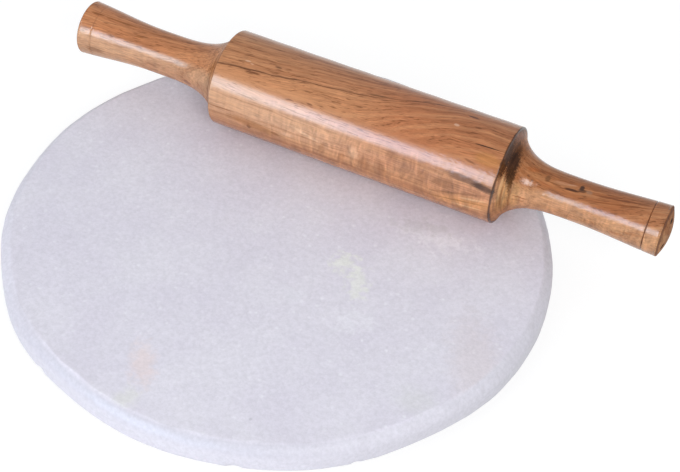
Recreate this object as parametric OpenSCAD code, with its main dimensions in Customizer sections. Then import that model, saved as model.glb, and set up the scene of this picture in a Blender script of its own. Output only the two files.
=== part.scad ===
// Round stone rolling board on three button feet, with a one-piece turned wooden rolling pin lying on it.
// Millimetres. The origin is under the board's centre, on the surface that the feet stand on.
// +X runs along the pin's axis, +Y towards the side of the board that the pin lies on, +Z is up.

/* [Board] */
// Diameter of the stone slab
board_d = 254; // [228:1:305]
// Thickness of the slab
board_t = 13; // [10:0.5:20]
// Radius of the slab's rounded upper edge
board_round = 4.5; // [1:0.5:6]
// Radius of the slab's eased lower edge
board_ease = 1.5; // [0.5:0.25:3]

/* [Feet] */
// Number of feet, evenly spaced
foot_count = 3; // [3:1:6]
// Diameter of each foot
foot_d = 28; // [20:1:40]
// Height of each foot
foot_h = 9.6; // [5:0.2:20]
// Distance from the slab's edge in to each foot's centre
foot_inset = 45; // [24:1:70]
// Radius of each foot's eased edges
foot_ease = 1.5; // [0.5:0.25:3]
// Thickness of the resin bed that bonds each foot to the slab
bed_t = 0.4; // [0.2:0.1:1]

/* [Roller] */
// Diameter of the pin's thick middle, the roller
roller_d = 47; // [35:0.5:55]
// Length of the roller between its two rims
roller_len = 145; // [120:1:200]
// Radius that takes the sharpness off the roller's rims
rim_round = 0.8; // [0.2:0.1:2]
// Diameter that the long curve of each cove has where it reaches the roller's rim
cove_d = 41; // [30:0.2:46]
// How steeply the coves drop from there to the neck, as the power of their long curve
cove_power = 4.1; // [2:0.1:6]
// How steeply each shoulder drops from its rim into the cove, as the power of its short curve
shoulder_power = 22; // [10:1:60]

/* [Left handle] */
// Length of the left handle from the roller's rim to its end's edge
left_len = 79; // [65:0.2:110]
// Distance from the roller's rim to the left neck, the handle's thinnest place
left_neck_at = 39.5; // [20:0.5:55]
// Diameter of the left neck
left_neck_d = 21.1; // [16:0.1:26]
// Diameter of the left handle's end
left_end_d = 26.5; // [20:0.1:32]

/* [Right handle] */
// Length of the right handle from the roller's rim to its end's edge
right_len = 75.8; // [65:0.2:110]
// Distance from the roller's rim to the right neck, the handle's thinnest place
right_neck_at = 34.5; // [20:0.5:55]
// Diameter of the right neck
right_neck_d = 20.1; // [16:0.1:26]
// Diameter of the right handle's end
right_end_d = 24.3; // [20:0.1:32]

/* [Handle ends] */
// How far the middle of each end face bulges out
end_dome = 2.5; // [0.5:0.25:4]
// Radius that eases the edge of each end face
end_round = 1.2; // [0.4:0.2:3]
// Distance from the end's edge to the middle of the scored ring
ring_from_end = 7.5; // [4:0.5:9]
// Width of the scored ring at the handle's surface
ring_w = 0.9; // [0.4:0.1:2]
// Depth of the scored ring
ring_depth = 0.5; // [0.2:0.1:1]

/* [Place of the pin] */
// Distance of the pin's axis from the board's centre
pin_y = 61.5; // [-86:0.5:86]
// How far the roller's middle lies to the right of the board's centre
roller_x = 14; // [-20:0.5:20]
// Space between the roller and the board's top
pin_gap = 0.15; // [0.1:0.05:0.3]

/* [Hidden] */
foot_numbers = [1:foot_count];

slab_z = foot_h + bed_t;
top_z = slab_z + board_t;
pin_z = top_z + pin_gap + roller_d / 2;

stone = "#dcdce4";
foot_stone = "#d6d6dc";
resin = "#cfc8b4";
wood = "#c08a5c";

bed_d = foot_d - 2 * foot_ease;
first_foot_angle = 90;

// Sides that a turned piece is drawn with
slab_sides = 180;
pin_sides = 96;
foot_sides = 64;
// Steps along each curve of the outlines
round_steps = 10;
edge_steps = 4;
cove_steps = 18;
swell_steps = 14;
dome_steps = 8;
// Power that crowds the cove's steps towards the shoulder, where it bends most
cove_crowding = 2;
// Angle of the cosine wave that a handle has run through at its end
swell_turn = 144;

// Points of an arc about a centre, from one angle to another
function arc(centre, r, from, to, steps) = [
    for (i = [0:steps])
        let (angle = from + (to - from) * i / steps)
        centre + r * [cos(angle), sin(angle)]
];

// Half outline of a disc with its own rounding at the lower and the upper edge, as [radius, height]
function disc_outline(r, h, lower, upper) = concat(
    [[0, 0]],
    arc([r - lower, lower], lower, -90, 0, round_steps),
    arc([r - upper, h - upper], upper, 0, 90, round_steps),
    [[0, h]]
);

// Radius of a cove at distance t from the roller's rim: a short steep curve off the rim that runs into a long
// one down to the neck
function cove_r(t, neck_at, neck_d) =
    let (
        left_to_go = 1 - t / neck_at,
        shoulder_r = roller_d / 2 - rim_round,
        long_r = min(cove_d / 2, shoulder_r)
    )
    neck_d / 2
        + (long_r - neck_d / 2) * pow(left_to_go, cove_power)
        + (shoulder_r - long_r) * pow(left_to_go, shoulder_power);

// Radius of a handle at distance t, past its neck: it swells to the end's diameter along a cosine wave
function swell_r(t, handle_len, neck_at, neck_d, end_d) =
    let (turn = swell_turn * (t - neck_at) / (handle_len - neck_at))
    neck_d / 2 + (end_d - neck_d) / 2 * (1 - cos(turn)) / (1 - cos(swell_turn));

// Half outline from the roller's rim out to the middle of a handle's end face, as [radius, distance]
function handle_outline(handle_len, neck_at, neck_d, end_d) =
    let (
        face_r = end_d / 2 - end_round,
        dome_r = (pow(face_r, 2) + pow(end_dome, 2)) / (2 * end_dome),
        dome_angle = asin(face_r / dome_r),
        ring_at = handle_len - ring_from_end,
        ring_start = ring_at - ring_w / 2,
        ring_stop = ring_at + ring_w / 2
    )
    concat(
        arc([roller_d / 2 - rim_round, -rim_round], rim_round, 0, 90, edge_steps),
        [
            for (i = [1:cove_steps])
                let (t = neck_at * pow(i / cove_steps, cove_crowding))
                [cove_r(t, neck_at, neck_d), t]
        ],
        [
            for (i = [1:swell_steps])
                let (t = neck_at + (ring_start - neck_at) * i / swell_steps)
                [swell_r(t, handle_len, neck_at, neck_d, end_d), t]
        ],
        [
            [swell_r(ring_at, handle_len, neck_at, neck_d, end_d) - ring_depth, ring_at],
            [swell_r(ring_stop, handle_len, neck_at, neck_d, end_d), ring_stop]
        ],
        arc([face_r, handle_len - end_round], end_round, 0, 90, edge_steps),
        [
            for (i = [1:dome_steps])
                let (angle = dome_angle * (1 - i / dome_steps))
                [dome_r * sin(angle), handle_len + end_dome - dome_r * (1 - cos(angle))]
        ]
    );

left_outline = handle_outline(left_len, left_neck_at, left_neck_d, left_end_d);
right_outline = handle_outline(right_len, right_neck_at, right_neck_d, right_end_d);

// The whole pin's half outline from its left end to its right end, as [radius, place along the axis]
pin_outline = concat(
    [
        for (i = [len(left_outline) - 1:-1:0])
            [left_outline[i][0], -roller_len / 2 - left_outline[i][1]]
    ],
    [for (p = right_outline) [p[0], roller_len / 2 + p[1]]]
);

// Places its children at a foot's centre, with the first foot at the back
module at_foot(i) {
    rotate([0, 0, first_foot_angle + 360 / foot_count * (i - 1)])
        translate([board_d / 2 - foot_inset, 0, 0])
            children();
}

// Round stone slab that the dough is rolled on
module slab() {
    color(stone)
        translate([0, 0, slab_z])
            rotate_extrude($fn = slab_sides)
                polygon(disc_outline(board_d / 2, board_t, board_ease, board_round));
}

// Stone button foot that the board stands on
module foot(i) {
    color(foot_stone)
        at_foot(i)
            rotate_extrude($fn = foot_sides)
                polygon(disc_outline(foot_d / 2, foot_h, foot_ease, foot_ease));
}

// Thin bed of hard resin that holds a foot to the slab's underside
module foot_bed(i) {
    color(resin)
        at_foot(i)
            translate([0, 0, foot_h])
                cylinder(h = bed_t, d = bed_d, $fn = foot_sides);
}

// Rolling pin turned from one piece of wood: roller, two coves and two handles
module rolling_pin() {
    color(wood)
        translate([roller_x, pin_y, pin_z])
            rotate([0, 90, 0])
                rotate_extrude($fn = pin_sides)
                    polygon(pin_outline);
}

slab();
for (i = foot_numbers) {
    foot(i);
    foot_bed(i);
}
rolling_pin();
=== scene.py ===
"""A chakla set: a round white marble rolling board on three button feet, with its turned wooden pin."""

import math

import bpy
import numpy as np
from mathutils import Matrix, Quaternion, Vector, noise


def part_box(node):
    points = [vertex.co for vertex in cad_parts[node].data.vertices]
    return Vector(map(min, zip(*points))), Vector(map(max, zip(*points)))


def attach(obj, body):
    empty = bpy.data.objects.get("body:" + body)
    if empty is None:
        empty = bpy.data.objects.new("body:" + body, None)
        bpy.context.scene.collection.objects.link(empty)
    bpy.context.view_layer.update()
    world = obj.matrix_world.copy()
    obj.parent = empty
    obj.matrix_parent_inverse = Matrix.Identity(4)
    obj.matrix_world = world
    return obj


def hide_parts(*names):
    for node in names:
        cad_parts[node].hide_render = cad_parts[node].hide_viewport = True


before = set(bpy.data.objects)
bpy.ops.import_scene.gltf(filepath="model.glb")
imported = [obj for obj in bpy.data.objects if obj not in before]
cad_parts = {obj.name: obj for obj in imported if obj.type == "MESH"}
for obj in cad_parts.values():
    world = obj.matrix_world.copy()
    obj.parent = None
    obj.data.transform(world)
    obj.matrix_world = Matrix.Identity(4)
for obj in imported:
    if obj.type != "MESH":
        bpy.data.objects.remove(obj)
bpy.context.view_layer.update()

# The slab
# One disc of white crystalline marble, about 254 mm across and 13 mm thick, sawn from a block and honed.
# Its outline is cut and its edges are eased by hand on a grinding wheel, so the rim wanders by up to
# 0.75 mm and the round-over is made of short flats.
MM = 0.001
slab_low, slab_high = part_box("slab")
slab_radius = (slab_high.x - slab_low.x) / 2 / MM
slab_base = slab_low.z / MM
slab_depth = (slab_high.z - slab_low.z) / MM
slab_round_over = 4.5
slab_lower_ease = 1.5
slab_around = 960

# How far the hand-cut outline stands proud of a true circle: degrees around the slab, millimetres
rim_wander = [(10, 0.45), (28, -0.2), (46, 0.3), (66, -0.35), (88, 0.3), (108, -0.3), (128, 0.3),
              (150, -0.35), (170, 0.25), (186, -0.45), (202, 0.3), (216, -0.25), (232, 0.6),
              (252, -0.7), (272, 0.15), (286, 0.0), (304, 0.55), (327, -0.75), (346, 0.55)]

# Small knocks along the upper and the lower arris: degrees, height as a share of the depth, size, depth
rim_chips = [(263, 1.0, 2.6, 0.5), (289, 0.0, 3.4, 0.9), (312, 0.0, 2.4, 0.6), (243, 0.0, 3.0, 0.8),
             (226, 1.0, 2.2, 0.4), (342, 1.0, 2.8, 0.5), (20, 0.0, 3.2, 0.8), (71, 1.0, 2.4, 0.5),
             (118, 0.0, 3.6, 0.9), (157, 1.0, 2.0, 0.4), (193, 0.0, 2.8, 0.7), (205, 1.0, 2.4, 0.4)]


def around_the_rim(marks, degrees):
    """Runs smoothly through (degrees, value) marks and closes on itself."""
    at = np.array([mark[0] for mark in marks] + [marks[0][0] + 360.0])
    value = np.array([mark[1] for mark in marks] + [marks[0][1]])
    turned = (degrees - at[0]) % 360 + at[0]
    step = np.searchsorted(at, turned, side="right") - 1
    share = (turned - at[step]) / (at[step + 1] - at[step])
    share = (1 - np.cos(np.pi * share)) / 2
    return value[step] * (1 - share) + value[step + 1] * share


def mesh_of_rings(name, first, rings, last):
    """Joins rings of points, given from one pole to the other, into one closed smooth mesh."""
    count, around = rings.shape[:2]
    points = np.concatenate([[first], rings.reshape(-1, 3), [last]]) * MM
    index = 1 + np.arange(count * around).reshape(count, around)
    after = np.roll(index, -1, axis=1)
    sides = np.stack([index[:-1], after[:-1], after[1:], index[1:]], axis=-1).reshape(-1, 4)
    end = len(points) - 1
    caps = [(0, b, a) for a, b in zip(index[0], after[0])]
    caps += [(end, a, b) for a, b in zip(index[-1], after[-1])]
    mesh = bpy.data.meshes.new(name)
    mesh.from_pydata(points.tolist(), [], sides.tolist() + [tuple(map(int, cap)) for cap in caps])
    mesh.polygons.foreach_set("use_smooth", [True] * len(mesh.polygons))
    mesh.validate()
    made = bpy.data.objects.new(name, mesh)
    bpy.context.scene.collection.objects.link(made)
    return made


quarter = np.linspace(0, math.pi / 2, 12)
slab_outline = [(r, 0.0) for r in (30, 60, 85, 100, 110, 117, 121, 124)]
slab_outline += [(slab_radius - slab_lower_ease * (1 - math.sin(a)), slab_lower_ease * (1 - math.cos(a)))
                 for a in quarter[::2]]
slab_outline += [(slab_radius, z) for z in np.linspace(slab_lower_ease, slab_depth - 6.2, 11)[1:-1]]
round_over_turn = math.radians(72)
round_over_radius = slab_round_over / (1 - math.cos(round_over_turn))
slab_outline += [(slab_radius - round_over_radius * (1 - math.cos(a)),
                  slab_depth - round_over_radius * (math.sin(round_over_turn) - math.sin(a)))
                 for a in np.linspace(0, round_over_turn, 14)]
slab_outline += [(r, slab_depth) for r in (122.3, 121.9, 121, 119.5, 117, 113, 108, 98, 80, 60, 40, 15)]
slab_outline = np.array(slab_outline)

slab_turn = np.linspace(0, 360, slab_around, endpoint=False)
slab_angle = np.radians(slab_turn)
slab_cos, slab_sin = np.cos(slab_angle), np.sin(slab_angle)
outline_r, outline_z = (slab_outline[:, k][:, None] * np.ones(slab_around) for k in (0, 1))
# The outline wanders fully at the rim, and less and less towards a radius of 108 mm
near_rim = np.clip((outline_r - 108) / 16, 0, 1) ** 2
outline_r = outline_r + near_rim * around_the_rim(rim_wander, slab_turn)
# The flats that each stroke on the wheel leaves: a chord cuts into the round-over between two corners
stroke = 0.5 * np.abs(np.sin(slab_angle * 19.5 + 0.4)) + 0.3 * np.abs(np.sin(slab_angle * 12.5))
on_round = np.clip((outline_z - (slab_depth - slab_round_over)) / slab_round_over, 0, 1)
on_round = on_round * np.clip((outline_r - 112) / 8, 0, 1)
outline_r = outline_r - 0.9 * on_round ** 2 * stroke
outline_z = outline_z - 0.25 * on_round * (1 - on_round) * 4 * stroke

slab_points = np.stack([outline_r * slab_cos, outline_r * slab_sin, outline_z], axis=-1)
# The wheel leaves the edge a little rough past this radius, in dips about 9 mm and 3 mm across
rough_past = 119
for k, base_r in enumerate(slab_outline[:, 0]):
    if base_r > rough_past:
        rim_share = min(1.0, (base_r - rough_past) / 5)
        for j in range(slab_around):
            x, y, z = slab_points[k, j]
            wide_dips = noise.noise(Vector((x, y, z * 1.4)) / 9) * 0.16
            small_dips = noise.noise(Vector((x, y, z)) / 3.1) * 0.07
            outward = np.array([slab_cos[j], slab_sin[j], 0.0])
            slab_points[k, j] += outward * (wide_dips + small_dips) * rim_share
for degrees, height, size, deep in rim_chips:
    a = math.radians(degrees)
    chip_z = slab_depth * height - (1.3 if height else -0.5)
    at = np.array([slab_radius * math.cos(a), slab_radius * math.sin(a), chip_z])
    reach = np.linalg.norm((slab_points - at) / np.array([1.0, 1.0, 0.8]), axis=-1)
    dent = deep * np.clip(1 - (reach / size) ** 2, 0, 1)
    slab_points[..., 0] -= dent * slab_cos
    slab_points[..., 1] -= dent * slab_sin
slab_points[..., 2] += slab_base
slab_board = mesh_of_rings("marble_slab", (0, 0, slab_base), slab_points, (0, 0, slab_base + slab_depth))


def linear(colour):
    """Turns an sRGB hex colour into the linear one that a shader takes."""
    parts = [int(colour[k:k + 2], 16) / 255 for k in (1, 3, 5)]
    return tuple(c / 12.92 if c <= 0.04045 else ((c + 0.055) / 1.055) ** 2.4 for c in parts) + (1.0,)


def plug(node, inputs):
    """Gives each named input a value, an output, or a node for the first output that it has in use."""
    for socket, value in inputs.items():
        if isinstance(value, bpy.types.Node):
            value = next(output for output in value.outputs if output.enabled)
        if isinstance(value, bpy.types.NodeSocket):
            node.id_data.links.new(value, node.inputs[socket])
        else:
            node.inputs[socket].default_value = value


def add_node(tree, kind, inputs=None, **settings):
    """Adds a node, sets it up and fills its inputs."""
    made = tree.nodes.new(kind)
    for name, value in settings.items():
        setattr(made, name, value)
    plug(made, inputs or {})
    return made


def new_material(name):
    """Starts a material, and gives it with its node tree, its shader and the place on its object."""
    made = bpy.data.materials.new(name)
    made.use_nodes = True
    tree = made.node_tree
    return made, tree, tree.nodes["Principled BSDF"], add_node(tree, "ShaderNodeTexCoord").outputs["Object"]


# Honed white marble: crystals of about 1.5 mm give a fine sugary grain, and a few whiter ones are a painted
# glint, over clouds of slightly different white. It is cool white with the least lavender, dull, and scuffed
# whiter where it is used. Past the given radius its colour is painted a shade greyer. This painted shade
# dims the round-over where the lamps light it, and is strongest on its upper round at the front, which faces
# the front lamps.
def marble(name, pale, grey, marks, roughness, grain_height, edge_shade_past=None):
    made, tree, shader, where = new_material(name)
    stone = add_node(tree, "ShaderNodeVectorMath", {0: where, 1: (1000, 1000, 1000)}, operation="MULTIPLY")
    cloud = add_node(tree, "ShaderNodeTexNoise", {"Vector": stone, "Scale": 1 / 30, "Detail": 3.0,
                                                  "Roughness": 0.55})
    crystal = add_node(tree, "ShaderNodeTexNoise", {"Vector": stone, "Scale": 1 / 1.7, "Detail": 3.0,
                                                    "Roughness": 0.7})
    # A few crystals are painted whiter: a painted glint
    fleck = add_node(tree, "ShaderNodeTexVoronoi", {"Vector": stone, "Scale": 1 / 2.4})
    chosen = add_node(tree, "ShaderNodeSeparateColor", {"Color": fleck.outputs["Color"]})
    few = add_node(tree, "ShaderNodeMapRange", {"Value": chosen.outputs[0], "From Min": 0.88,
                                                "From Max": 1.0})
    small = add_node(tree, "ShaderNodeMapRange", {"Value": fleck.outputs["Distance"], "From Min": 0.5,
                                                  "From Max": 0.1, "To Max": 0.7})
    bright = add_node(tree, "ShaderNodeMath", {0: few, 1: small}, operation="MULTIPLY")
    cloud_share = add_node(tree, "ShaderNodeMapRange", {"Value": cloud, "From Min": 0.35, "From Max": 0.65})
    body = add_node(tree, "ShaderNodeMix", {0: cloud_share, 6: linear(grey), 7: linear(pale)},
                    data_type="RGBA")
    colour = add_node(tree, "ShaderNodeMix", {0: bright, 6: body, 7: linear("#f4f3fa")}, data_type="RGBA")
    for place, reach, turn, tint, strength, raggedness in marks:
        offset = add_node(tree, "ShaderNodeMapping", {"Vector": stone, "Location": place, "Scale": reach,
                                                      "Rotation": (0, 0, math.radians(turn))},
                          vector_type="TEXTURE")
        far = add_node(tree, "ShaderNodeVectorMath", {0: offset}, operation="LENGTH")
        torn = add_node(tree, "ShaderNodeTexNoise", {"Vector": stone, "Scale": 1 / 4.5, "Detail": 4.0,
                                                     "Roughness": 0.65})
        ragged = add_node(tree, "ShaderNodeMath", {0: torn, 1: raggedness, 2: far}, operation="MULTIPLY_ADD")
        share = add_node(tree, "ShaderNodeMapRange", {"Value": ragged, "From Min": 1.0 + raggedness / 2,
                                                      "From Max": 0.2 + raggedness / 2, "To Max": strength},
                         interpolation_type="SMOOTHSTEP")
        colour = add_node(tree, "ShaderNodeMix", {0: share, 6: colour, 7: linear(tint)}, data_type="RGBA")
    # Painted shade: past the given radius the edge turns a shade greyer, greyest on its upper round at the
    # front
    if edge_shade_past:
        flat = add_node(tree, "ShaderNodeVectorMath", {0: stone, 1: (1, 1, 0)}, operation="MULTIPLY")
        out = add_node(tree, "ShaderNodeVectorMath", {0: flat}, operation="LENGTH")
        painted_light_layer = add_node(tree, "ShaderNodeMapRange", {"Value": out, "From Min": edge_shade_past,
                                                       "From Max": edge_shade_past + 1.5})
        place = add_node(tree, "ShaderNodeSeparateXYZ", {0: stone})
        high = add_node(tree, "ShaderNodeMapRange", {"Value": place.outputs[2], "From Min": 17.0,
                                                     "From Max": 19.5})
        in_front = add_node(tree, "ShaderNodeMapRange", {"Value": place.outputs[1], "From Min": -80.0,
                                                         "From Max": -112.0})
        front_shade_share = add_node(tree, "ShaderNodeMath", {0: high, 1: in_front}, operation="MULTIPLY")
        painted_edge_shade = add_node(tree, "ShaderNodeMix", {0: front_shade_share, 6: linear("#dcd9e2"), 7: linear("#cdcad3")},
                             data_type="RGBA")
        colour = add_node(tree, "ShaderNodeMix", {0: painted_light_layer, 6: colour, 7: painted_edge_shade}, data_type="RGBA")
    crystal_share = add_node(tree, "ShaderNodeMapRange", {"Value": crystal, "From Min": 0.3,
                                                          "From Max": 0.7, "To Min": 0.91, "To Max": 1.07})
    sugary = add_node(tree, "ShaderNodeVectorMath", {0: colour, 3: crystal_share}, operation="SCALE")
    bump = add_node(tree, "ShaderNodeBump", {"Height": crystal, "Distance": grain_height * MM})
    plug(shader, {"Base Color": sugary, "Roughness": roughness, "IOR": 1.5, "Normal": bump})
    return made


# Iron stains lie as faint warm clouds at the front left and along the right edge, with one grey pit at the
# front, and the middle right is scuffed whiter: place, reach, turn, colour, strength, raggedness
honed_marks = [((-15, -98, 23), (8, 17, 9), 33, "#f0dad3", 0.45, 1.4),
               ((-11, -117.5, 21), (8, 9, 9), 0, "#e4e5dd", 0.5, 1.2),
               ((112, -32, 23), (17, 44, 14), 28, "#dfd6da", 0.6, 0.8),
               ((97, -62, 21), (14, 12, 12), 0, "#dcdcdd", 0.5, 0.8),
               ((67, 31, 23), (24, 9, 6), 4, "#f3f1f8", 0.6, 3.6),
               ((58, 35, 23), (18, 6, 6), 12, "#c4c1c8", 0.45, 3.6),
               ((36, -4, 23), (8, 9, 6), 0, "#edefe8", 0.75, 2.4),
               ((46, -12, 23), (7, 13, 6), 20, "#edefe8", 0.65, 2.6),
               ((54, -34, 23), (14, 9, 6), 30, "#eeedf4", 0.5, 2.8),
               ((24, -33, 23), (9, 6, 6), 0, "#e9e8f0", 0.5, 2.2),
               ((39.9, -103.2, 23), (1.1, 1.1, 2), 0, "#a9a7b0", 0.45, 0.2)]
honed_marble = marble("honed_white_marble", "#e4e1ea", "#dfdbe6", honed_marks, roughness=0.5,
                      grain_height=0.02, edge_shade_past=122.0)
slab_board.data.materials.append(honed_marble)
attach(slab_board, "board")
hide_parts("slab")

# The feet
# Three buttons turned from offcuts of the same marble, 28 mm across, on a circle under the slab. They are
# left unpolished, with the fine rings of the lathe tool on their sides.
sawn_marble = marble("turned_unpolished_marble", "#d9d8de", "#cfced6", [], roughness=0.7, grain_height=0.12)
foot_around = 96
foot_turn = np.linspace(0, 2 * math.pi, foot_around, endpoint=False)
for number in (1, 2, 3):
    low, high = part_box(f"foot_{number}")
    centre = (low + high) / 2 / MM
    radius = (high.x - low.x) / 2 / MM
    height = (high.z - low.z) / MM
    ease = 1.5
    side = [(r, 0.0) for r in (5, 9, 11.5)]
    side += [(radius - ease * (1 - math.sin(a)), ease * (1 - math.cos(a))) for a in quarter[::2]]
    side_z = np.linspace(ease, height - ease, 24)[1:-1]
    side += [(radius - 0.09 * abs(math.sin(z * 3.2)), z) for z in side_z]
    side += [(radius - ease * (1 - math.cos(a)), height - ease * (1 - math.sin(a))) for a in quarter[::2]]
    side += [(r, height) for r in (11.5, 7, 3)]
    side = np.array(side)
    uneven = 0.12 * np.sin(3 * foot_turn + number) * (side[:, 0] > 11)[:, None]
    r = side[:, 0][:, None] + uneven
    rings = np.stack([centre.x + r * np.cos(foot_turn), centre.y + r * np.sin(foot_turn),
                      low.z / MM + side[:, 1][:, None] + 0 * r], axis=-1)
    foot = mesh_of_rings(f"button_foot_{number}", (centre.x, centre.y, low.z / MM), rings,
                         (centre.x, centre.y, high.z / MM))
    foot.data.materials.append(sawn_marble)
    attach(foot, "board")
    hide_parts(f"foot_{number}")

# The beds of stone-bonding resin
# A thin layer of polyester resin between each foot and the slab. It squeezes out into an uneven, slightly
# glossy cream bead round the foot's top edge before it sets.
resin, resin_tree, resin_shader, resin_where = new_material("cured_polyester_resin")
resin_cloud = add_node(resin_tree, "ShaderNodeTexNoise", {"Vector": resin_where, "Scale": 400.0,
                                                          "Detail": 3.0})
resin_colour = add_node(resin_tree, "ShaderNodeMix", {0: resin_cloud, 6: linear("#c6bda2"),
                                                      7: linear("#dbd6c6")}, data_type="RGBA")
resin_bump = add_node(resin_tree, "ShaderNodeBump", {"Height": resin_cloud, "Distance": 0.1 * MM})
plug(resin_shader, {"Base Color": resin_colour, "Roughness": 0.35, "Normal": resin_bump})
for number in (1, 2, 3):
    low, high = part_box(f"foot_bed_{number}")
    centre = (low + high) / 2 / MM
    radius = (high.x - low.x) / 2 / MM
    spread = radius + 0.35 * np.sin(foot_turn * 2 + number) + 0.25 * np.sin(foot_turn * 5 + 2 * number)
    heights = [low.z / MM, low.z / MM + 0.12, high.z / MM - 0.12, high.z / MM]
    r = np.stack([spread - 0.1, spread + 0.12, spread + 0.16, spread + 0.3])
    rings = np.stack([centre.x + r * np.cos(foot_turn), centre.y + r * np.sin(foot_turn),
                      np.array(heights)[:, None] + 0 * r], axis=-1)
    bed = mesh_of_rings(f"resin_bed_{number}", (centre.x, centre.y, low.z / MM), rings,
                        (centre.x, centre.y, high.z / MM))
    bed.data.materials.append(resin)
    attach(bed, "board")
    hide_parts(f"foot_bed_{number}")

# The rolling pin
# Turned between centres from one length of hardwood: a straight roller, a steep shoulder at each end, and
# two handles that sweep down to a neck and swell out again to a domed end, with a scored ring near it.
# Hand turning leaves the two handles a little different. It is finished in clear glossy varnish.
pin_low, pin_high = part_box("rolling_pin")
pin_y = (pin_low.y + pin_high.y) / 2 / MM
pin_z = (pin_low.z + pin_high.z) / 2 / MM
roller_r = (pin_high.z - pin_low.z) / 2 / MM
roller_left, roller_right = -58.5, 86.5
left_length, right_length = 79.0, 75.8
# Each shoulder drops off the rim in a short steep curve that runs into a long one down to the neck
long_r, long_power, short_power = 20.5, 4.1, 22
shoulder_length = 8
swell_turn = math.radians(144)
end_ease = 0.7
end_dome = 2.5
pin_around = 160
pin_turn = np.linspace(0, 2 * math.pi, pin_around, endpoint=False)


def handle_rings(length, neck_at, neck_r, end_r, rim, ring_from_end, ring_depth):
    """One handle from the roller's rim out, as rows of distance and of radius around the pin."""
    ring = length - ring_from_end
    t = np.concatenate([shoulder_length * np.linspace(0, 1, 26)[1:-1] ** 2,
                        np.linspace(shoulder_length, ring - 1, 56)[:-1],
                        np.linspace(ring - 1, ring + 1, 21)[:-1],
                        np.linspace(ring + 1, length - end_ease, 8)])
    left_to_go = np.clip(1 - t / neck_at, 0, None)
    cove = neck_r + (long_r - neck_r) * left_to_go ** long_power
    cove = cove + (rim[-1][1] - long_r) * left_to_go ** short_power
    swell = neck_r + (end_r - neck_r) * (1 - np.cos(swell_turn * (t - neck_at) / (length - neck_at))) / (
        1 - math.cos(swell_turn))
    r = np.where(t < neck_at, cove, swell)[:, None] * np.ones(pin_around)
    r = r - np.clip(1 - np.abs(t - ring) / 0.4, 0, 1)[:, None] * ring_depth
    edge = np.linspace(0, math.pi / 2, 6)
    edge_t = length - end_ease + end_ease * np.sin(edge)
    edge_r = end_r - end_ease + end_ease * np.cos(edge)
    cap_r = end_r - end_ease
    ball = (cap_r ** 2 + end_dome ** 2) / (2 * end_dome)
    cap = np.linspace(cap_r, 0, 25)[1:-1]
    cap_t = length + end_dome - ball + np.sqrt(ball ** 2 - cap ** 2)
    all_t = np.concatenate([[p[0] for p in rim], t, edge_t, cap_t])
    all_r = [np.full(pin_around, p[1]) for p in rim]
    all_r += list(r) + [np.full(pin_around, v) for v in np.concatenate([edge_r, cap])]
    return all_t, np.array(all_r)


rim_arc = np.linspace(0, math.pi / 2, 6)
rim_ease = 0.6
pin_rim = [(-rim_ease + rim_ease * math.sin(a), roller_r - rim_ease + rim_ease * math.cos(a))
           for a in rim_arc]
left_t, left_r = handle_rings(left_length, neck_at=39.5, neck_r=10.55, end_r=13.25, rim=pin_rim,
                              ring_from_end=7.1, ring_depth=0.1 + 0.12 * np.sin(pin_turn))
right_t, right_r = handle_rings(right_length, neck_at=34.5, neck_r=10.05, end_r=12.15, rim=pin_rim,
                                ring_from_end=7.3, ring_depth=0.32 + 0.08 * np.sin(pin_turn * 5))
roller_x = np.linspace(roller_left + 2, roller_right - 2.5, 60)
roller_rows = roller_r - 0.04 + 0.04 * np.sin(roller_x / 2.9)[:, None] * np.ones(pin_around)
pin_x = np.concatenate([roller_left - left_t[::-1], roller_x, roller_right + right_t])
pin_r = np.concatenate([left_r[::-1], roller_rows, right_r])
pin_rings = np.stack([pin_x[:, None] + 0 * pin_r, pin_y - pin_r * np.sin(pin_turn),
                      pin_z + pin_r * np.cos(pin_turn)], axis=-1)
# The two teeth of the lathe's drive centre have left their marks in the right end face: degrees round from
# the top, distance from the axis, and which way each one lies
drive_marks = [(-3, 6.9, 0), (110, 7.5, 60)]
drive_long, drive_wide, drive_deep = 1.9, 1.1, 0.4
for degrees, out, lie in drive_marks:
    a, lie = math.radians(degrees), math.radians(lie)
    dy = pin_rings[..., 1] - pin_y + out * math.sin(a)
    dz = pin_rings[..., 2] - pin_z - out * math.cos(a)
    along, across = dy * math.cos(lie) + dz * math.sin(lie), dz * math.cos(lie) - dy * math.sin(lie)
    on_right_end = pin_rings[..., 0] > 160
    inside = np.clip(1 - (along / drive_long) ** 2 - (across / drive_wide) ** 2, 0, 1) * on_right_end
    pin_rings[..., 0] -= drive_deep * inside
turned_pin = mesh_of_rings("turned_pin", (roller_left - left_length - end_dome, pin_y, pin_z), pin_rings,
                           (roller_right + right_length + end_dome, pin_y, pin_z))

# Sheesham under clear glossy varnish: golden brown, darker along the growth layers towards the heart, with
# short dark pore lines along the fibres, a dark seam, a drying crack and a few small knots. The smooth
# varnish over it throws a soft-edged reflection of the lamp.
wood, wood_tree, wood_shader, wood_where = new_material("varnished_sheesham")
# Millimetres in the pin's own frame: x as in the board's frame, y and z from the pin's axis
on_pin = add_node(wood_tree, "ShaderNodeMapping", {"Vector": wood_where, "Location": (0, -pin_y, -pin_z),
                                                   "Scale": (1000, 1000, 1000)})
at_x, at_y, at_z = add_node(wood_tree, "ShaderNodeSeparateXYZ", {0: on_pin}).outputs
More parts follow.
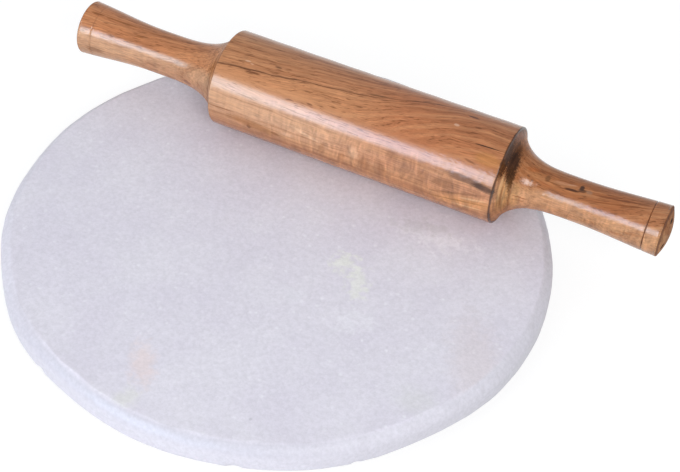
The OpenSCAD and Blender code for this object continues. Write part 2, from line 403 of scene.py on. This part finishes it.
# The fibres sway by up to 2 mm to each side
swayed = [at_x]
for part, start in ((at_y, 0.0), (at_z, 40.0)):
    slow = add_node(wood_tree, "ShaderNodeMapping", {"Vector": on_pin, "Location": (start, 0, 0),
                                                     "Scale": (1 / 45, 1 / 15, 1 / 15)})
    meander = add_node(wood_tree, "ShaderNodeTexNoise", {"Vector": slow, "Scale": 1.0, "Detail": 3.0})
    aside = add_node(wood_tree, "ShaderNodeMath", {0: meander, 1: 4.4, 2: -2.2}, operation="MULTIPLY_ADD")
    swayed.append(add_node(wood_tree, "ShaderNodeMath", {0: part, 1: aside}, operation="ADD"))
bent = add_node(wood_tree, "ShaderNodeCombineXYZ", dict(enumerate(swayed)))
bent_x, bent_y, bent_z = add_node(wood_tree, "ShaderNodeSeparateXYZ", {0: bent}).outputs
# Values that change along the pin are given at places along it, in millimetres: the colour of the
# heartwood, brown at the left and redder to the right, how far the growth layers have risen towards the
# back, and how much the varnish ripples over raised grain
first_place, last_place = -140.0, 165.0
along_pin = add_node(wood_tree, "ShaderNodeMapRange", {"Value": at_x, "From Min": first_place,
                                                       "From Max": last_place})
heart_colours = [(-140, "#b67449"), (-70, "#ba7b50"), (-57, "#b47b52"), (5, "#b1754e"), (35, "#b16e46"),
                 (85, "#ab6d45"), (100, "#a16438"), (138, "#9e5f36"), (165, "#a97049")]
layer_rise = [(-140, 0.0), (-57, 8.3), (8, 15.3), (20, 17.8), (48, 26.9), (60, 31.1), (75, 33.6),
              (120, 34.2), (165, 42.3)]
total_rise, rise_at_centre = 42.3, 22.6
varnish_ripple = [(-140, 0.6), (-66, 0.5), (-52, 0.3), (40, 0.25), (58, 0.8), (84, 0.8), (90, 0.4),
                  (102, 0.8), (138, 0.8), (150, 0.3)]
heart_ramp = add_node(wood_tree, "ShaderNodeValToRGB", {0: along_pin})
while len(heart_ramp.color_ramp.elements) < len(heart_colours):
    heart_ramp.color_ramp.elements.new(0.5)
for stop, (x, tint) in zip(heart_ramp.color_ramp.elements, heart_colours):
    stop.position = (x - first_place) / (last_place - first_place)
    stop.color = linear(tint)
heartwood = heart_ramp.outputs[0]
curves = []
for marks, full in ((layer_rise, total_rise), (varnish_ripple, 1.0)):
    curve = add_node(wood_tree, "ShaderNodeFloatCurve", {"Value": along_pin})
    line = curve.mapping.curves[0]
    while len(line.points) < len(marks):
        line.points.new(0.5, 0.5)
    for point, (x, value) in zip(line.points, marks):
        point.location = ((x - first_place) / (last_place - first_place), value / full)
        point.handle_type = "VECTOR"
    curve.mapping.update()
    curves.append(curve)
risen, ripple_share = curves
rise = add_node(wood_tree, "ShaderNodeMath", {0: risen, 1: total_rise, 2: -rise_at_centre},
                operation="MULTIPLY_ADD")
layer = add_node(wood_tree, "ShaderNodeMath", {0: bent_y, 1: rise}, operation="SUBTRACT")
# The layers meet the surface on edge at the pin's back and top, and lie flat along its front, so each
# pattern below is drawn once for each and they fade into one another
back_grain, front_grain = [add_node(wood_tree, "ShaderNodeCombineXYZ", dict(enumerate(parts)))
                           for parts in ((bent_x, layer, bent_z), (bent_x, bent_z, bent_y))]
on_front = add_node(wood_tree, "ShaderNodeMapRange", {"Value": bent_y, "From Min": -14.0,
                                                      "From Max": -19.0}, interpolation_type="SMOOTHSTEP")
# Millimetres along, across and through the layers: bands of growth, fibres drawn twice their real width so
# that they show, and pores
grain = {}
for pattern, along, across, through, detail, roughness in [("bands", 60, 2.2, 11, 3.0, 0.6),
                                                           ("fibres", 10, 0.55, 0.8, 4.0, 0.65),
                                                           ("pores", 5.5, 0.55, 0.9, 2.0, 0.5)]:
    drawn = []
    for lie in (back_grain, front_grain):
        place = add_node(wood_tree, "ShaderNodeVectorMath", {0: lie,
                                                             1: (1 / along, 1 / across, 1 / through)},
                         operation="MULTIPLY")
        drawn.append(add_node(wood_tree, "ShaderNodeTexNoise", {"Vector": place, "Scale": 1.0,
                                                                "Detail": detail, "Roughness": roughness}))
    grain[pattern] = add_node(wood_tree, "ShaderNodeMix", {0: on_front, 2: drawn[0], 3: drawn[1]})

# In front of the seam the roller's left half is paler
past_seam = add_node(wood_tree, "ShaderNodeMapRange", {"Value": layer, "From Min": 0.6, "From Max": -1.0})
left_half = add_node(wood_tree, "ShaderNodeMapRange", {"Value": at_x, "From Min": 45.0, "From Max": -5.0,
                                                       "To Max": 0.85}, interpolation_type="SMOOTHSTEP")
before_seam = add_node(wood_tree, "ShaderNodeMath", {0: past_seam, 1: left_half}, operation="MULTIPLY")
seam_front = add_node(wood_tree, "ShaderNodeMix", {0: before_seam, 6: heartwood, 7: linear("#c0855a")},
                      data_type="RGBA")
# Painted sheen: the pin's whole front is painted paler still, for the broad soft reflection that the varnish
# gives of the front lamps, least on the right of the roller and in the left cove
roller_right_half = add_node(wood_tree, "ShaderNodeMapRange", {"Value": at_x, "From Min": -15.0,
                                                               "From Max": 40.0},
                             interpolation_type="SMOOTHSTEP")
before_handle = add_node(wood_tree, "ShaderNodeMapRange", {"Value": at_x, "From Min": 96.0,
                                                           "From Max": 86.0})
on_right = add_node(wood_tree, "ShaderNodeMath", {0: roller_right_half, 1: before_handle},
                    operation="MULTIPLY")
turn_back = add_node(wood_tree, "ShaderNodeMath", {0: bent_y, 1: bent_z}, operation="ARCTAN2")
front_sheen_share = add_node(wood_tree, "ShaderNodeMapRange", {"Value": turn_back, "From Min": math.radians(-45),
                                                       "From Max": math.radians(-62)},
                     interpolation_type="SMOOTHSTEP")
front_sheen_roller = add_node(wood_tree, "ShaderNodeMix", {0: on_right, 6: linear("#c99a76"), 7: linear("#b9825d")},
                      data_type="RGBA")
on_handle = add_node(wood_tree, "ShaderNodeMapRange", {"Value": at_x, "From Min": 86.0, "From Max": 92.0})
front_sheen_right = add_node(wood_tree, "ShaderNodeMix", {0: on_handle, 6: front_sheen_roller, 7: linear("#bb8860")},
                     data_type="RGBA")
from_left = add_node(wood_tree, "ShaderNodeMapRange", {"Value": at_x, "From Min": -96.0, "From Max": -76.0})
before_roller = add_node(wood_tree, "ShaderNodeMapRange", {"Value": at_x, "From Min": -58.0,
                                                           "From Max": -62.0})
in_left_cove = add_node(wood_tree, "ShaderNodeMath", {0: from_left, 1: before_roller},
                        operation="MULTIPLY")
front_sheen_tint = add_node(wood_tree, "ShaderNodeMix", {0: in_left_cove, 6: front_sheen_right, 7: linear("#b98a66")},
                    data_type="RGBA")
# The painted sheen is laid over the seam's colours here
painted_light_layer = add_node(wood_tree, "ShaderNodeMix", {0: front_sheen_share, 6: seam_front, 7: front_sheen_tint}, data_type="RGBA")
# The pin's underside is browner again, where the painted sheen ends
low_side = add_node(wood_tree, "ShaderNodeMapRange", {"Value": bent_z, "From Min": 2.0, "From Max": -9.0})
lower = add_node(wood_tree, "ShaderNodeMix", {0: low_side, 6: painted_light_layer, 7: linear("#ac7145")},
                 data_type="RGBA")

# Growth layers, darker and paler by turns
dark_band = add_node(wood_tree, "ShaderNodeMapRange", {"Value": grain["bands"], "From Min": 0.5,
                                                       "From Max": 0.75, "To Max": 0.5})
banded = add_node(wood_tree, "ShaderNodeMix", {0: dark_band, 6: lower, 7: linear("#874c28")},
                  data_type="RGBA")
pale_band = add_node(wood_tree, "ShaderNodeMapRange", {"Value": grain["bands"], "From Min": 0.5,
                                                       "From Max": 0.25, "To Max": 0.4})
paled = add_node(wood_tree, "ShaderNodeMix", {0: pale_band, 6: banded, 7: linear("#d9a272")},
                 data_type="RGBA")
# Rays stand across the grain where the layers lie flat: soft blotches 3 mm wide with fine hatching in them
figure_level, figure_swing = [], []
for along, around_pin, back_swing, front_swing, bend in [(3.6, 9, 0.08, 0.62, 0.9),
                                                         (1.1, 5, 0.0, 0.2, 0.5)]:
    place = add_node(wood_tree, "ShaderNodeVectorMath", {0: bent,
                                                         1: (1 / along, 1 / around_pin, 1 / around_pin)},
                     operation="MULTIPLY")
    figure = add_node(wood_tree, "ShaderNodeTexNoise", {"Vector": place, "Scale": 1.0, "Detail": 3.0,
                                                        "Distortion": bend})
    swing = add_node(wood_tree, "ShaderNodeMapRange", {"Value": turn_back, "From Min": math.radians(-50),
                                                       "From Max": math.radians(-75), "To Min": back_swing,
                                                       "To Max": front_swing})
    figure_level.append(add_node(wood_tree, "ShaderNodeMath", {0: figure, 1: 0.5}, operation="SUBTRACT"))
    figure_swing.append(add_node(wood_tree, "ShaderNodeMath", {0: figure_level[-1], 1: swing},
                                 operation="MULTIPLY"))
both_swings = add_node(wood_tree, "ShaderNodeMath", {0: figure_swing[0], 1: figure_swing[1]},
                       operation="ADD")
figure_share = add_node(wood_tree, "ShaderNodeMapRange", {"Value": at_x, "From Min": -40.0,
                                                          "From Max": 10.0, "To Min": 0.8, "To Max": 2.2})
fibre_back = add_node(wood_tree, "ShaderNodeMapRange", {"Value": grain["fibres"], "From Min": 0.3,
                                                        "From Max": 0.7, "To Min": 1.26, "To Max": 0.76})
fibre_front = add_node(wood_tree, "ShaderNodeMapRange", {"Value": grain["fibres"], "From Min": 0.3,
                                                         "From Max": 0.7, "To Min": 1.15, "To Max": 0.86})
fibre_share = add_node(wood_tree, "ShaderNodeMix", {0: on_front, 2: fibre_back, 3: fibre_front})
figured = add_node(wood_tree, "ShaderNodeMath", {0: both_swings, 1: figure_share, 2: fibre_share},
                   operation="MULTIPLY_ADD")
# Pores: short dark dashes along the fibres, in clusters along the darker layers
clustered = add_node(wood_tree, "ShaderNodeMath", {0: grain["bands"], 1: 0.45, 2: grain["pores"]},
                     operation="MULTIPLY_ADD")
pore_share = add_node(wood_tree, "ShaderNodeMapRange", {"Value": clustered, "From Min": 0.8,
                                                        "From Max": 0.92, "To Max": 0.7})
few_in_front = add_node(wood_tree, "ShaderNodeMapRange", {"Value": turn_back,
                                                          "From Min": math.radians(-48),
                                                          "From Max": math.radians(-66), "To Min": 1.0,
                                                          "To Max": 0.35})
pores_shown = add_node(wood_tree, "ShaderNodeMath", {0: pore_share, 1: few_in_front}, operation="MULTIPLY")
wood_colour = add_node(wood_tree, "ShaderNodeMix", {0: pores_shown, 6: paled, 7: linear("#643616")},
                       data_type="RGBA")

# Both coves cut steeply through the layers, which show there as fine rings across the pin
from_middle = add_node(wood_tree, "ShaderNodeMath", {0: at_x, 1: (roller_left + roller_right) / 2},
                       operation="SUBTRACT")
off_middle = add_node(wood_tree, "ShaderNodeMath", {0: from_middle}, operation="ABSOLUTE")
cove_share = add_node(wood_tree, "ShaderNodeMapRange", {"Value": off_middle, "From Min": 82.0,
                                                        "From Max": 76.0}, interpolation_type="SMOOTHSTEP")
off_roller = add_node(wood_tree, "ShaderNodeMapRange", {"Value": off_middle, "From Min": 72.4,
                                                        "From Max": 72.8})
in_cove = add_node(wood_tree, "ShaderNodeMath", {0: cove_share, 1: off_roller}, operation="MULTIPLY")
ring_place = add_node(wood_tree, "ShaderNodeVectorMath", {0: bent, 1: (1 / 0.8, 1 / 9, 1 / 9)},
                      operation="MULTIPLY")
ring_grain = add_node(wood_tree, "ShaderNodeTexNoise", {"Vector": ring_place, "Scale": 1.0, "Detail": 2.0})
ring_level = add_node(wood_tree, "ShaderNodeMapRange", {"Value": ring_grain, "From Min": 0.3,
                                                        "From Max": 0.7, "To Min": 1.25, "To Max": 0.7})
ringed = add_node(wood_tree, "ShaderNodeMix", {0: in_cove, 2: 1.0, 3: ring_level})
grain_level = add_node(wood_tree, "ShaderNodeMath", {0: figured, 1: ringed}, operation="MULTIPLY")

# Marks in the wood: place along the pin, degrees round from the top towards the front, radius there, half
# length, half width, slant of the mark in degrees, colour and strength
wood_marks = [
    # The knot in the right shoulder, with its dark tail and the golden wood that flows round it, and painted
    # shade on the shoulder's top back
    (90.0, 82, 17.0, 3.2, 12.0, 0, "#b9854e", 0.6),
    (94.5, 84, 13.8, 2.4, 9.0, 0, "#c08c56", 0.5),
    (88.4, 66, 18.6, 0.5, 9.0, 0, "#d6a877", 0.6),
    (90.2, 76, 16.3, 0.45, 9.0, 0, "#d0a070", 0.5),
    (89.3, 84, 17.2, 0.4, 9.0, 0, "#7c4b2a", 0.6),
    (92.4, 84, 14.5, 0.5, 8.0, 0, "#8a5228", 0.6),
    # Painted shade: the shoulder's face at the top back, turned from the lamps, is painted grey-brown
    (87.2, -24, 20.5, 1.6, 12.0, 0, "#7a5546", 0.8),
    (90.5, -8, 16.0, 3.0, 7.0, 0, "#845230", 0.7),
    (87.3, 26, 20.8, 1.3, 14.0, 0, "#3a2012", 0.9),
    (89.0, 8, 17.3, 2.6, 8.0, 0, "#5a3418", 0.85),
    (89.6, 27, 16.8, 4.0, 8.5, 0, "#3a2113", 0.93),
    (90.8, 47, 15.7, 2.2, 5.5, 0, "#42260f", 0.88),
    (91.6, 62, 14.9, 0.9, 4.4, 0, "#5a3412", 0.8),
    # The right handle's knot, with the streaks that sweep round it
    (121.9, 12, 10.1, 1.3, 1.9, 0, "#3a2012", 0.92),
    (122.5, 20, 10.1, 2.6, 1.0, 12, "#4c2c18", 0.8),
    (117.5, 27, 10.2, 4.5, 0.8, 4, "#4a260f", 0.95),
    (110.5, 28, 10.5, 5.0, 0.6, -5, "#7c4826", 0.75),
    (106.0, 20, 11.0, 1.5, 1.9, 0, "#6e4322", 0.75),
    (113.0, 17, 10.4, 5.0, 1.0, 6, "#b88361", 0.5),
    (117.5, 13, 10.2, 2.8, 0.5, 10, "#c49270", 0.55),
    (114.0, 9, 10.3, 6.0, 0.5, 6, "#7a4422", 0.7),
    (125.6, 17, 10.1, 1.8, 1.3, 0, "#8d6a52", 0.7),
    (103.0, 6, 11.4, 6.0, 0.7, 16, "#7b421c", 0.7),
    (98.5, 14, 12.8, 3.5, 1.4, 20, "#a85c2a", 0.6),
    (106.0, 36, 11.0, 5.5, 0.5, -10, "#94552f", 0.7),
    (111.0, 42, 10.5, 4.0, 0.4, -6, "#9c6038", 0.6),
    (134.0, 14, 10.6, 6.0, 0.8, 10, "#6e3a1a", 0.7),
    (143.0, 8, 11.3, 7.0, 0.7, 10, "#6a3718", 0.75),
    (146.0, 18, 11.5, 9.0, 0.6, 12, "#7e4620", 0.75),
    (137.0, 28, 10.8, 10.0, 0.6, 12, "#84481f", 0.7),
    (150.0, 3, 11.9, 4.0, 0.8, 8, "#74401f", 0.7),
    (97.0, 84, 13.4, 4.0, 0.45, -16, "#93532a", 0.7),
    (96.6, 93, 13.6, 3.6, 0.45, -18, "#9c6038", 0.65),
    (150.0, 80, 11.9, 7.0, 0.8, 10, "#a5683c", 0.5),
    (143.0, 96, 11.2, 5.0, 1.0, 8, "#a3612f", 0.5),
    # The left handle's dark line and its spots, and a painted shadow low on the front of its cove
    (-117.0, 8, 12.3, 15.0, 0.6, 4, "#834b20", 0.75),
    (-96.0, 3, 10.7, 14.0, 0.7, 3, "#8d5226", 0.5),
    (-131.0, 12, 13.2, 4.0, 0.9, 3, "#7e4519", 0.7),
    (-73.0, 5, 11.8, 5.0, 0.8, -12, "#8d5630", 0.55),
    (-106.0, 28, 11.0, 2.2, 0.7, 6, "#94592a", 0.6),
    (-128.0, 100, 13.1, 6.0, 1.6, 0, "#8a5a36", 0.6),
    # Painted shadow low on the front of the left cove
    (-76.5, 104, 10.8, 3.0, 1.8, 0, "#7d4f3a", 0.6),
    # The roller: knots low at the left, a grey-brown smudge at the right, a crack, and small dark marks
    (-36.5, 101, 23.4, 1.5, 1.9, 0, "#5e371f", 0.85),
    (-22.5, 98, 23.4, 2.4, 1.1, 0, "#7c4c2e", 0.75),
    (-34.0, 97, 23.4, 16.0, 3.2, -4, "#98602f", 0.6),
    (-52.0, 87.5, 23.4, 7.0, 0.4, 2, "#8a5836", 0.75),
    (-16.0, 92, 23.4, 4.0, 1.2, 4, "#d3a684", 0.6),
    (36.5, 72, 23.4, 3.4, 4.0, 0, "#a06a48", 0.5),
    (47.0, 70, 23.4, 2.2, 3.4, 0, "#a87150", 0.45),
    (53.0, 80, 23.4, 3.0, 3.6, 0, "#96633f", 0.5),
    (74.0, 98, 23.4, 18.0, 4.5, 12, "#cc8f5a", 0.65),
    (70.0, 88, 23.4, 15.0, 0.7, 16, "#8a5a38", 0.6),
    (66.0, 101, 23.4, 11.0, 0.5, 11, "#96602f", 0.7),
    (77.0, 95, 23.4, 11.0, 0.5, 10, "#a06834", 0.7),
    (78.0, 89, 23.4, 8.0, 0.7, 12, "#dcae80", 0.7),
    (76.0, 103, 23.4, 9.0, 0.6, 8, "#dcae80", 0.6),
    (73.0, 67, 23.4, 12.0, 2.4, -4, "#6b4a38", 0.8),
    (82.5, 70, 23.4, 7.0, 1.9, -4, "#45291c", 0.85),
    (64.0, 80, 23.4, 8.0, 3.0, 14, "#8a5b39", 0.65),
    (24.0, 96, 23.4, 3.0, 5.5, 12, "#95603a", 0.6),
    (33.0, 93, 23.4, 2.4, 5.0, 14, "#9a643e", 0.55),
    (12.0, 98, 23.4, 2.0, 5.0, -14, "#9c6640", 0.55),
    (2.0, 95, 23.4, 1.8, 4.5, -10, "#a06b44", 0.5),
    (-7.0, 82, 23.4, 9.0, 0.9, -14, "#dcb08a", 0.6),
    (18.0, 84, 23.4, 3.0, 3.5, 0, "#d8ab86", 0.5),
    (80.0, 38, 23.4, 7.5, 3.6, 0, "#bb7d44", 0.6),
    (72.5, 46, 23.4, 3.6, 0.6, -12, "#7c4b2c", 0.7),
    (77.5, 24.2, 23.5, 8.5, 0.36, 2, "#3a1d0c", 0.97),
    (66.0, 26.5, 23.5, 8.0, 0.3, 4, "#6e4023", 0.75),
    (65.0, -10.5, 23.5, 3.0, 0.9, 0, "#5f3524", 0.85),
    (-8.1, 46, 23.5, 1.9, 0.5, 0, "#6e4427", 0.8),
    (-29.5, 17, 23.5, 2.2, 0.5, 4, "#5e3820", 0.8),
    (-39.5, 33.6, 23.5, 5.0, 0.6, 4, "#6a3c1e", 0.85),
    (20.0, 8.5, 23.5, 6.0, 0.6, 10, "#6a4326", 0.75),
    (-44.5, 22, 23.5, 1.6, 0.45, 6, "#d6b094", 0.7),
    (-42.0, 24, 23.5, 1.2, 0.35, 0, "#d0a788", 0.6),
    (60.0, 10.5, 23.5, 1.5, 0.8, 0, "#d2aa90", 0.75),
]
# Each mark is drawn half as wide again as a soft ball, and the fibres bite into its edge
mark_reach, mark_depth = 1.5, 9.0
torn_edge = add_node(wood_tree, "ShaderNodeMath", {0: grain["fibres"], 1: -1.1}, operation="MULTIPLY")
for x, turn, radius, half_length, half_width, slant, tint, strength in wood_marks:
    a = math.radians(turn)
    turned = Matrix.Rotation(a, 3, "X") @ Matrix.Rotation(math.radians(slant), 3, "Z")
    spot = add_node(wood_tree, "ShaderNodeTexGradient", {"Vector": on_pin}, gradient_type="SPHERICAL")
    spot.texture_mapping.vector_type = "TEXTURE"
    spot.texture_mapping.translation = (x, -radius * math.sin(a), radius * math.cos(a))
    spot.texture_mapping.rotation = turned.to_euler("XYZ")
    spot.texture_mapping.scale = (half_length * mark_reach, half_width * mark_reach, mark_depth)
    ragged = add_node(wood_tree, "ShaderNodeMath", {0: spot.outputs[1], 1: -mark_reach, 2: torn_edge},
                      operation="MULTIPLY_ADD")
    share = add_node(wood_tree, "ShaderNodeMapRange", {"Value": ragged, "From Min": -0.95,
                                                       "From Max": -1.55, "To Max": strength},
                     interpolation_type="SMOOTHSTEP")
    wood_colour = add_node(wood_tree, "ShaderNodeMix", {0: share, 6: wood_colour, 7: linear(tint)},
                           data_type="RGBA")

# The seam follows the edge of the heartwood along the top of the roller
seam_far = add_node(wood_tree, "ShaderNodeMath", {0: layer}, operation="ABSOLUTE")
seam_ragged = add_node(wood_tree, "ShaderNodeMath", {0: grain["fibres"], 1: -1.6, 2: seam_far},
                       operation="MULTIPLY_ADD")
seam_near = add_node(wood_tree, "ShaderNodeMapRange", {"Value": seam_ragged, "From Min": -0.25,
                                                       "From Max": -0.8, "To Max": 0.85})
on_top = add_node(wood_tree, "ShaderNodeMapRange", {"Value": bent_z, "From Min": 14.0, "From Max": 17.0})
seam_share = add_node(wood_tree, "ShaderNodeMath", {0: seam_near, 1: on_top}, operation="MULTIPLY")
wood_colour = add_node(wood_tree, "ShaderNodeMix", {0: seam_share, 6: wood_colour, 7: linear("#5a3219")},
                       data_type="RGBA")

# Painted shade: dark lines along both rims of the roller, in the scored rings and round the arris of each
# end, where these edges turn from the lamps and down in the grooves: place along the pin, half width, fade,
# colour, strength
painted_shade_lines = [(-137.6, 0.25, 0.4, "#5c4032", 0.7), (-130.1, 0.15, 0.35, "#8a5836", 0.35),
              (-61.6, 0.25, 0.5, "#8a5630", 0.5), (-58.5, 0.15, 0.4, "#6b4a34", 0.75),
              (86.3, 0.22, 0.4, "#3c1f10", 0.85), (155.0, 0.12, 0.25, "#5a2c12", 0.85),
              (162.45, 0.2, 0.3, "#6a4030", 0.7)]
for x, half_width, fade, tint, strength in painted_shade_lines:
    off = add_node(wood_tree, "ShaderNodeMath", {0: at_x, 1: x}, operation="SUBTRACT")
    away = add_node(wood_tree, "ShaderNodeMath", {0: off}, operation="ABSOLUTE")
    uneven = add_node(wood_tree, "ShaderNodeMath", {0: figure_level[0], 1: 0.8, 2: away},
                      operation="MULTIPLY_ADD")
    share = add_node(wood_tree, "ShaderNodeMapRange", {"Value": uneven, "From Min": half_width + fade,
                                                       "From Max": half_width, "To Max": strength})
    wood_colour = add_node(wood_tree, "ShaderNodeMix", {0: share, 6: wood_colour, 7: linear(tint)},
                           data_type="RGBA")
# The drive marks are painted near black
for degrees, out, lie in drive_marks:
    a = math.radians(degrees)
    spot = add_node(wood_tree, "ShaderNodeTexGradient", {"Vector": on_pin}, gradient_type="SPHERICAL")
    spot.texture_mapping.vector_type = "TEXTURE"
    spot.texture_mapping.translation = (163.6, -out * math.sin(a), out * math.cos(a))
    spot.texture_mapping.rotation = (math.radians(lie), 0, 0)
    spot.texture_mapping.scale = (3.5, drive_long * mark_reach, drive_wide * mark_reach)
    share = add_node(wood_tree, "ShaderNodeMapRange", {"Value": spot.outputs[1], "From Min": 0.25,
                                                       "From Max": 0.5, "To Max": 0.95})
    wood_colour = add_node(wood_tree, "ShaderNodeMix", {0: share, 6: wood_colour, 7: linear("#241812")},
                           data_type="RGBA")
grained = add_node(wood_tree, "ShaderNodeVectorMath", {0: wood_colour, 3: grain_level}, operation="SCALE")
# The open grain of the shoulders drinks some of the varnish, so they shine less
coat = add_node(wood_tree, "ShaderNodeMapRange", {"Value": in_cove, "From Min": 0.0, "From Max": 1.0,
                                                  "To Min": 1.0, "To Max": 0.45})
fibre_bump = add_node(wood_tree, "ShaderNodeBump", {"Height": grain["fibres"], "Strength": 0.5,
                                                    "Distance": 0.06 * MM})
ripple = add_node(wood_tree, "ShaderNodeTexNoise", {"Vector": on_pin, "Scale": 1 / 2.2, "Detail": 3.0})
rippled = add_node(wood_tree, "ShaderNodeMath", {0: ripple, 1: ripple_share}, operation="MULTIPLY")
varnish_bump = add_node(wood_tree, "ShaderNodeBump", {"Height": rippled, "Distance": 0.2 * MM})
plug(wood_shader, {"Base Color": grained, "Roughness": 0.5, "IOR": 1.5, "Specular IOR Level": 0.0,
                   "Coat Weight": coat, "Coat Roughness": 0.2, "Coat IOR": 1.48, "Normal": fibre_bump,
                   "Coat Normal": varnish_bump})

# The same wood on the end grain of its two end faces: it drinks the varnish, so it is duller and a little
# darker
end_grain = wood.copy()
end_grain.name = "varnished_sheesham_end_grain"
end_shader = end_grain.node_tree.nodes["Principled BSDF"]
end_grain.node_tree.links.remove(end_shader.inputs["Coat Weight"].links[0])
end_colour = end_shader.inputs["Base Color"].links[0].from_socket
soaked = add_node(end_grain.node_tree, "ShaderNodeVectorMath", {0: end_colour, 3: 0.85}, operation="SCALE")
plug(end_shader, {"Coat Weight": 0.3, "Coat Roughness": 0.45, "Base Color": soaked})
turned_pin.data.materials.append(wood)
turned_pin.data.materials.append(end_grain)
left_end_from, right_end_from = -137.5, 161.8
for face in turned_pin.data.polygons:
    x = face.center.x / MM
    if x < left_end_from or x > right_end_from:
        face.material_index = 1
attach(turned_pin, "pin")
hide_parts("rolling_pin")

# The studio
# A wide white sweep stands in for the photographer's table. One long soft lamp stands low at the front left
# and a square one higher at the right, in a pale room.
floor_mesh = bpy.data.meshes.new("white_sweep")
floor_half = 4.0
floor_mesh.from_pydata([(-floor_half, -floor_half, 0), (floor_half, -floor_half, 0),
                        (floor_half, floor_half, 0), (-floor_half, floor_half, 0)], [], [(0, 1, 2, 3)])
floor = bpy.data.objects.new("white_sweep", floor_mesh)
bpy.context.scene.collection.objects.link(floor)
sweep, sweep_tree, paper, sweep_where = new_material("matt_white_paper_sweep")
plug(paper, {"Base Color": linear("#d3d3d3"), "Roughness": 0.9})
# Seen straight on, the paper glows most of the way to white, so that only a soft shadow shows on it. Far
# from the board it fades to the pale grey of the room.
sweep_far = add_node(sweep_tree, "ShaderNodeVectorMath", {0: sweep_where}, operation="LENGTH")
sweep_glow = add_node(sweep_tree, "ShaderNodeMapRange", {"Value": sweep_far, "From Min": 0.9,
                                                         "From Max": floor_half, "To Min": 0.82,
                                                         "To Max": 0.34})
shade = add_node(sweep_tree, "ShaderNodeBsdfDiffuse", {"Color": (0.25, 0.25, 0.25, 1)})
glow = add_node(sweep_tree, "ShaderNodeEmission", {"Color": (1, 1, 1, 1), "Strength": sweep_glow})
seen = add_node(sweep_tree, "ShaderNodeAddShader", {0: shade, 1: glow})
rays = add_node(sweep_tree, "ShaderNodeLightPath").outputs
mirrored = add_node(sweep_tree, "ShaderNodeMath", {0: rays["Is Camera Ray"], 1: rays["Is Glossy Ray"]},
                    operation="MAXIMUM")
direct = add_node(sweep_tree, "ShaderNodeMath", {0: mirrored, 1: rays["Is Transmission Ray"]},
                  operation="MAXIMUM")
sweep_mix = add_node(sweep_tree, "ShaderNodeMixShader", {0: direct, 1: paper, 2: seen})
plug(sweep_tree.nodes["Material Output"], {"Surface": sweep_mix})
floor.data.materials.append(sweep)

# The room's left wall is the lighter one
room = bpy.data.worlds.new("pale_room")
bpy.context.scene.world = room
room.use_nodes = True
room_where = add_node(room.node_tree, "ShaderNodeTexCoord").outputs["Generated"]
room_side = add_node(room.node_tree, "ShaderNodeSeparateXYZ", {0: room_where}).outputs[0]
room_level = add_node(room.node_tree, "ShaderNodeMapRange", {"Value": room_side, "From Min": -1.0,
                                                             "From Max": 1.0, "To Min": 0.705,
                                                             "To Max": 0.44})
plug(room.node_tree.nodes["Background"], {"Color": (0.965, 0.99, 1.015, 1), "Strength": room_level})

# Each lamp: name, degrees around, degrees up, degrees that it leans, metres away, width and height, watts,
# colour, lights matt surfaces. The cool sheet over the long softbox and its bright middle show only as
# reflections.
lamps = [("long_softbox", -110.6, 23, 10, 1.2, 0.92, 0.54, 5.4, (0.93, 0.97, 1.07), True),
         ("cool_sheet", -110.6, 23.5, 10, 1.19, 0.92, 0.5, 4.0, (0.36, 1.06, 1.53), False),
         ("bright_middle", -106, 23.5, 10, 1.18, 0.26, 0.46, 1.3, (1.0, 0.75, 1.2), False),
         ("square_softbox", -48, 38, 0, 1.5, 0.45, 0.45, 8.2, (1.0, 1.0, 1.0), True)]
for name, around, up, lean, away, wide, high, watts, tint, lights_matt in lamps:
    lamp_data = bpy.data.lights.new(name, "AREA")
    lamp_data.shape = "RECTANGLE"
    lamp_data.size, lamp_data.size_y = wide, high
    lamp_data.energy = watts
    lamp_data.color = tint
    lamp = bpy.data.objects.new(name, lamp_data)
    around, up = math.radians(around), math.radians(up)
    towards = Vector((math.cos(around) * math.cos(up), math.sin(around) * math.cos(up), math.sin(up)))
    lamp.location = towards * away
    leaning = Quaternion((0, 0, 1), math.radians(lean))
    lamp.rotation_euler = ((-lamp.location).to_track_quat("-Z", "Y") @ leaning).to_euler()
    lamp.visible_camera = False
    lamp.visible_diffuse = lights_matt
    bpy.context.scene.collection.objects.link(lamp)

# The camera stands where the photograph was taken, 0.78 m from the board's top, with a long lens and a
# slight tilt to the side.
camera_place = Vector((0.24236, -0.49636, 0.57943))
camera_aim = Vector((0.02606, 0.01073, 0.023))
camera_roll = math.radians(3.836)
camera_data = bpy.data.cameras.new("camera")
camera_data.sensor_width = 36
camera_data.lens = 90.03
camera = bpy.data.objects.new("camera", camera_data)
forward = (camera_aim - camera_place).normalized()
level_right = forward.cross(Vector((0, 0, 1))).normalized()
level_up = level_right.cross(forward)
right = math.cos(camera_roll) * level_right + math.sin(camera_roll) * level_up
up = right.cross(forward)
camera.matrix_world = Matrix.Translation(camera_place) @ Matrix((right, up, -forward)).transposed().to_4x4()
bpy.context.scene.collection.objects.link(camera)
bpy.context.scene.camera = camera
bpy.context.scene.view_settings.view_transform = "Standard"

bpy.context.view_layer.update()
